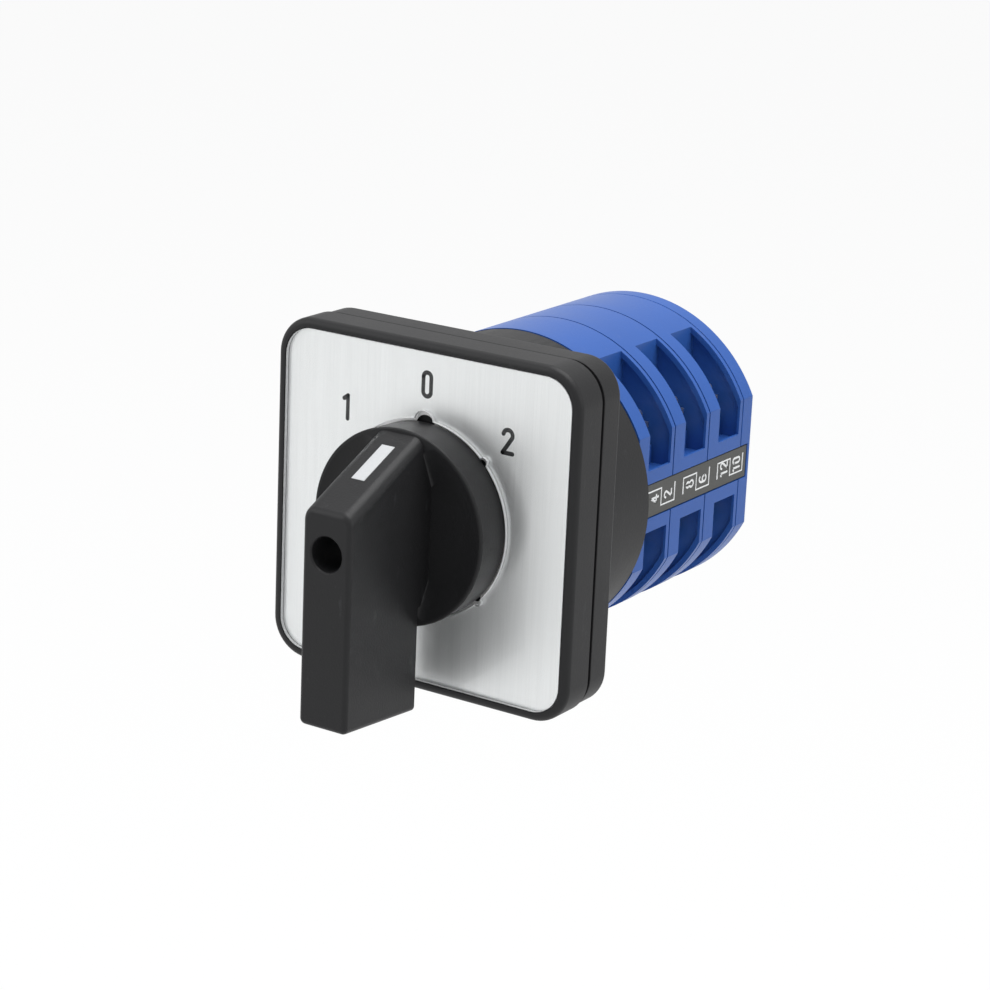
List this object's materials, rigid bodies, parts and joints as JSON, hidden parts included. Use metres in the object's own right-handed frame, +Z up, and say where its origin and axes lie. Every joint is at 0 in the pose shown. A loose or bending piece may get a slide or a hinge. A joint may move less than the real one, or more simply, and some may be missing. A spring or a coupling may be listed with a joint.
{
  "type": "rotary transfer switch",
  "caption": "Panel-mounted rotary cam switch with a square dial plate, bar handle, round head and a stack of contact stages with side terminals.",
  "frame": {"origin": "on the shaft's axis, in the plane where the front plate meets the rear flange, which is where the panel goes", "axes": "+Y runs along the shaft from the user into the cabinet, +X to the right and +Z up as the user sees the dial"},
  "size_m": [0.064, 0.1007, 0.065],
  "materials": {
    "moulded_black": "fine-grained matt black moulding",
    "handle_black": "satin black moulding",
    "pointer_white": "matt white print",
    "dial_aluminium": "vertically brushed aluminium foil",
    "clear_plastic": "clear gloss plastic",
    "moulded_blue": "satin blue moulding",
    "cam_ivory": "natural nylon",
    "wheel_grey": "dark grey nylon",
    "zinc_steel": "bright zinc plate",
    "spring_steel": "bare spring steel",
    "brass": "bright rolled brass",
    "strip_black": "matt black label strip"
  },
  "bodies": {
    "housing": {"front_plate": "moulded_black", "dial_plate": "dial_aluminium", "clear_cover": "clear_plastic", "head_housing": "moulded_black", "detent_springs": "spring_steel", "stop_pins": "zinc_steel", "head_back_plate": "moulded_black", "tie_inserts": "brass", "tie_screws": "zinc_steel", "back_plate": "moulded_blue", "number_strip_right": "strip_black", "number_strip_left": "strip_black", "stage_housing_1": "moulded_blue", "terminals_1": "brass", "clamp_washers_1": "zinc_steel", "terminal_screws_1": "zinc_steel", "return_spring_1_upper": "spring_steel", "return_spring_1_lower": "spring_steel", "stage_housing_2": "moulded_blue", "terminals_2": "brass", "clamp_washers_2": "zinc_steel", "terminal_screws_2": "zinc_steel", "return_spring_2_upper": "spring_steel", "return_spring_2_lower": "spring_steel", "stage_housing_3": "moulded_blue", "terminals_3": "brass", "clamp_washers_3": "zinc_steel", "terminal_screws_3": "zinc_steel", "return_spring_3_upper": "spring_steel", "return_spring_3_lower": "spring_steel"},
    "rotor": {"handle": "handle_black", "handle_pointer": "pointer_white", "handle_screw": "zinc_steel", "square_shaft": "zinc_steel", "detent_wheel": "wheel_grey", "cam_1": "cam_ivory", "cam_2": "cam_ivory", "cam_3": "cam_ivory"},
    "contact_1_upper": {"plunger_1_upper": "cam_ivory", "bridge_contact_1_upper": "brass"},
    "contact_1_lower": {"plunger_1_lower": "cam_ivory", "bridge_contact_1_lower": "brass"},
    "contact_2_upper": {"plunger_2_upper": "cam_ivory", "bridge_contact_2_upper": "brass"},
    "contact_2_lower": {"plunger_2_lower": "cam_ivory", "bridge_contact_2_lower": "brass"},
    "contact_3_upper": {"plunger_3_upper": "cam_ivory", "bridge_contact_3_upper": "brass"},
    "contact_3_lower": {"plunger_3_lower": "cam_ivory", "bridge_contact_3_lower": "brass"}
  },
  "joints": [
    {"name": "handle_turn", "type": "hinge", "parent": "housing", "child": "rotor", "pos_m": [0, 0, 0], "axis": [0, 1, 0], "range_deg": [-45, 45], "deforming": ["detent_springs"]},
    {"name": "contact_1_upper_slide", "type": "slide", "parent": "housing", "child": "contact_1_upper", "axis": [0, 0, 1], "range_m": [-0.002, 0.002], "deforming": ["return_spring_1_upper"]},
    {"name": "contact_1_lower_slide", "type": "slide", "parent": "housing", "child": "contact_1_lower", "axis": [0, 0, 1], "range_m": [-0.002, 0.002], "deforming": ["return_spring_1_lower"]},
    {"name": "contact_2_upper_slide", "type": "slide", "parent": "housing", "child": "contact_2_upper", "axis": [0, 0, 1], "range_m": [-0.002, 0.002], "deforming": ["return_spring_2_upper"]},
    {"name": "contact_2_lower_slide", "type": "slide", "parent": "housing", "child": "contact_2_lower", "axis": [0, 0, 1], "range_m": [-0.002, 0.002], "deforming": ["return_spring_2_lower"]},
    {"name": "contact_3_upper_slide", "type": "slide", "parent": "housing", "child": "contact_3_upper", "axis": [0, 0, 1], "range_m": [-0.002, 0.002], "deforming": ["return_spring_3_upper"]},
    {"name": "contact_3_lower_slide", "type": "slide", "parent": "housing", "child": "contact_3_lower", "axis": [0, 0, 1], "range_m": [-0.002, 0.002], "deforming": ["return_spring_3_lower"]}
  ],
  "couplings": [
    {"joint": "contact_1_upper_slide", "follows": "handle_turn", "m_per_rad": 0.002546},
    {"joint": "contact_1_lower_slide", "follows": "handle_turn", "m_per_rad": 0.002546},
    {"joint": "contact_2_upper_slide", "follows": "handle_turn", "m_per_rad": 0.002546},
    {"joint": "contact_2_lower_slide", "follows": "handle_turn", "m_per_rad": 0.002546},
    {"joint": "contact_3_upper_slide", "follows": "handle_turn", "m_per_rad": 0.002546},
    {"joint": "contact_3_lower_slide", "follows": "handle_turn", "m_per_rad": 0.002546}
  ]
}
